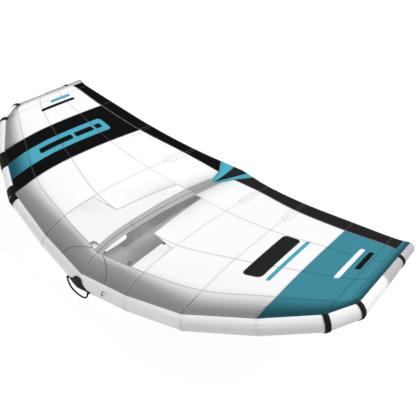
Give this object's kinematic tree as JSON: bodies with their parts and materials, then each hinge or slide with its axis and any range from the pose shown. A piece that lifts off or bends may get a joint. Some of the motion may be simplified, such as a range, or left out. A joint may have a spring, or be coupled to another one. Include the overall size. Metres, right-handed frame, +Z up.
{
  "type": "wingfoil wing",
  "caption": "Hand-held inflatable wing for foiling: air-filled leading edge and strut, sewn canopy with clear windows, soft grip handles, nose handle and inflation valve.",
  "frame": {"origin": "centre line of the strut's underside above the front handle, where the wing is held", "axes": "+Y from the leading edge to the trailing edge, +Z up through the canopy, +X along the span to port"},
  "size_m": [3.1348, 1.8471, 0.6988],
  "materials": {
    "white_dacron": "tight woven polyester, satin",
    "grey_dacron": "tight woven polyester, light grey",
    "white_canopy": "coated ripstop nylon, white",
    "black_canopy": "coated ripstop, black",
    "charcoal_canopy": "coated ripstop, charcoal",
    "teal_canopy": "coated ripstop, teal",
    "window_film": "clear flexible film",
    "bladder_film": "translucent polyurethane film",
    "black_webbing": "woven webbing, black",
    "neoprene": "foam padded cover, black",
    "black_plastic": "moulded plastic, black",
    "hose_plastic": "flexible tube, translucent grey",
    "fibreglass": "pultruded flat batten"
  },
  "bodies": {
    "wing": {"nose_panel_port": "white_canopy", "window_port": "window_film", "side_panel_port": "white_canopy", "rear_panel_port": "white_canopy", "gore_inner_port": "white_canopy", "le_casing_inner_port": "white_dacron", "le_casing_mid_port": "white_dacron", "le_casing_outer_port": "white_dacron", "le_casing_tip_port": "white_dacron", "le_tip_sleeve_port": "grey_dacron", "le_band_outer_port": "black_webbing", "le_band_tip_port": "black_webbing", "batten_port": "fibreglass", "nose_panel_starboard": "white_canopy", "window_starboard": "window_film", "side_panel_starboard": "white_canopy", "rear_panel_starboard": "white_canopy", "gore_inner_starboard": "white_canopy", "le_casing_inner_starboard": "white_dacron", "le_casing_mid_starboard": "white_dacron", "le_casing_outer_starboard": "white_dacron", "le_casing_tip_starboard": "white_dacron", "le_tip_sleeve_starboard": "grey_dacron", "le_band_outer_starboard": "black_webbing", "le_band_tip_starboard": "black_webbing", "batten_starboard": "fibreglass", "gore_mid_port": "white_canopy", "gore_mid_starboard": "black_canopy", "tip_panel_port": "teal_canopy", "tip_panel_starboard": "white_canopy", "te_band_port": "charcoal_canopy", "te_band_starboard": "black_canopy", "spine_strip": "grey_dacron", "te_patch": "teal_canopy", "te_insert": "black_canopy", "le_casing_centre": "white_dacron", "le_bladder": "bladder_film", "strut_casing": "grey_dacron", "strut_bladder": "bladder_film", "strut_tail_cap": "grey_dacron", "strut_web": "grey_dacron", "front_handle_patch": "black_webbing", "rear_handle_patch": "black_webbing", "le_handle_strap": "black_webbing", "le_handle_pad": "neoprene", "leash_loop": "black_webbing", "valve_flange": "black_plastic", "valve_body": "black_plastic", "hose_fitting_nose": "black_plastic", "hose_fitting_strut": "black_plastic", "inflation_hose": "hose_plastic", "hose_clip_base": "black_plastic"},
    "front_handle": {"front_handle_webbing": "black_webbing", "front_handle_grip": "neoprene"},
    "rear_handle": {"rear_handle_webbing": "black_webbing", "rear_handle_grip": "neoprene"},
    "nose_handle": {"le_handle_loop": "black_webbing"},
    "valve_lid": {"valve_cap": "black_plastic"},
    "clip_arm": {"hose_clip_arm": "black_plastic"}
  },
  "joints": [
    {"name": "front_handle_swing", "type": "hinge", "parent": "wing", "child": "front_handle", "pos_m": [0, 0, -0.00718], "axis": [0, 0.9987, 0.0501], "range_deg": [-60, 60]},
    {"name": "rear_handle_swing", "type": "hinge", "parent": "wing", "child": "rear_handle", "pos_m": [0, 0.46, 0.04138], "axis": [0, 0.9867, 0.1624], "range_deg": [-60, 60]},
    {"name": "nose_handle_swing", "type": "hinge", "parent": "wing", "child": "nose_handle", "pos_m": [0, -0.87766, 0.06706], "axis": [1, 0, 0], "range_deg": [-110, 0]},
    {"name": "valve_lid_flip", "type": "hinge", "parent": "wing", "child": "valve_lid", "pos_m": [0.1, -0.5301, 0.07471], "axis": [0.1564, 0, -0.9877], "range_deg": [0, 140]},
    {"name": "clip_arm_open", "type": "hinge", "parent": "wing", "child": "clip_arm", "pos_m": [-0.14882, -0.61995, 0.18643], "axis": [0.5942, -0.4455, 0.6697], "range_deg": [0, 55]}
  ]
}
